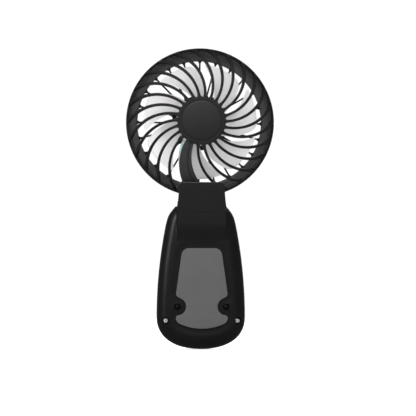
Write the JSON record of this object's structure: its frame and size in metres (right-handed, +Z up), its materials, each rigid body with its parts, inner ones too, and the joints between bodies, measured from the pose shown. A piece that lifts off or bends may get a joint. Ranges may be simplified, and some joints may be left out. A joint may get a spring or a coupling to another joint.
{
  "type": "folding desk fan",
  "caption": "Battery hand fan with a round guarded head that folds forward on a flat tapered handle, which then lies on its back as a desk base.",
  "frame": {"origin": "centre of the fan's box at its lowest point, the bottom end of the handle", "axes": "+Z up along the handle to the head, -Y the way the air leaves, +X to the right seen from the front"},
  "size_m": [0.1, 0.032, 0.2028],
  "materials": {
    "housing": "black satin moulded plastic",
    "guard": "black satin moulded plastic",
    "badge": "black gloss plastic",
    "pad": "matte grey soft-touch plastic",
    "blade": "white glossy plastic",
    "screw_silver": "bright plated steel",
    "screw_black": "black oxide steel",
    "control": "dark plastic",
    "lens": "clear milky plastic",
    "steel": "bright steel",
    "magnet": "dark ferrite",
    "bronze": "sintered bronze",
    "copper": "copper",
    "carbon": "carbon",
    "cap_plastic": "cream plastic",
    "board": "green solder mask",
    "cell": "foil pouch wrapped in film",
    "lead_cyan": "pale blue insulation",
    "lead_red": "red insulation"
  },
  "bodies": {
    "handle": {"rear_shell": "housing", "front_shell": "housing", "rear_pad": "pad", "case_screws": "screw_silver", "boss_screws": "screw_black", "battery_cell": "cell", "main_board": "board", "charge_board": "board", "tact_switch": "steel", "indicator_leds": "lens", "light_guide": "lens", "usb_port": "steel", "tilt_pin": "steel", "friction_washers": "steel", "board_leads": "lead_red", "button_ring": "control"},
    "head": {"rear_guard": "guard", "front_guard": "guard", "front_badge": "badge", "motor_cover": "guard", "motor_can": "steel", "motor_magnets": "magnet", "motor_end_cap": "cap_plastic", "front_bush": "bronze", "rear_bush": "bronze", "brushes": "carbon", "motor_screws": "steel", "motor_leads": "lead_cyan"},
    "impeller": {"impeller": "blade", "motor_shaft": "steel", "armature": "copper", "commutator": "copper"},
    "power_button": {"power_button": "control"}
  },
  "joints": [
    {"name": "head_tilt", "type": "hinge", "parent": "handle", "child": "head", "pos_m": [0, -0.003, 0.0975], "axis": [1, 0, 0], "range_deg": [0, 90]},
    {"name": "impeller_spin", "type": "hinge", "parent": "head", "child": "impeller", "pos_m": [0, 0, 0.1528], "axis": [0, 1, 0], "continuous": true},
    {"name": "power_press", "type": "slide", "parent": "handle", "child": "power_button", "axis": [0, 1, 0], "range_m": [0, 0.0008], "stiffness_N_per_m": 1500}
  ]
}
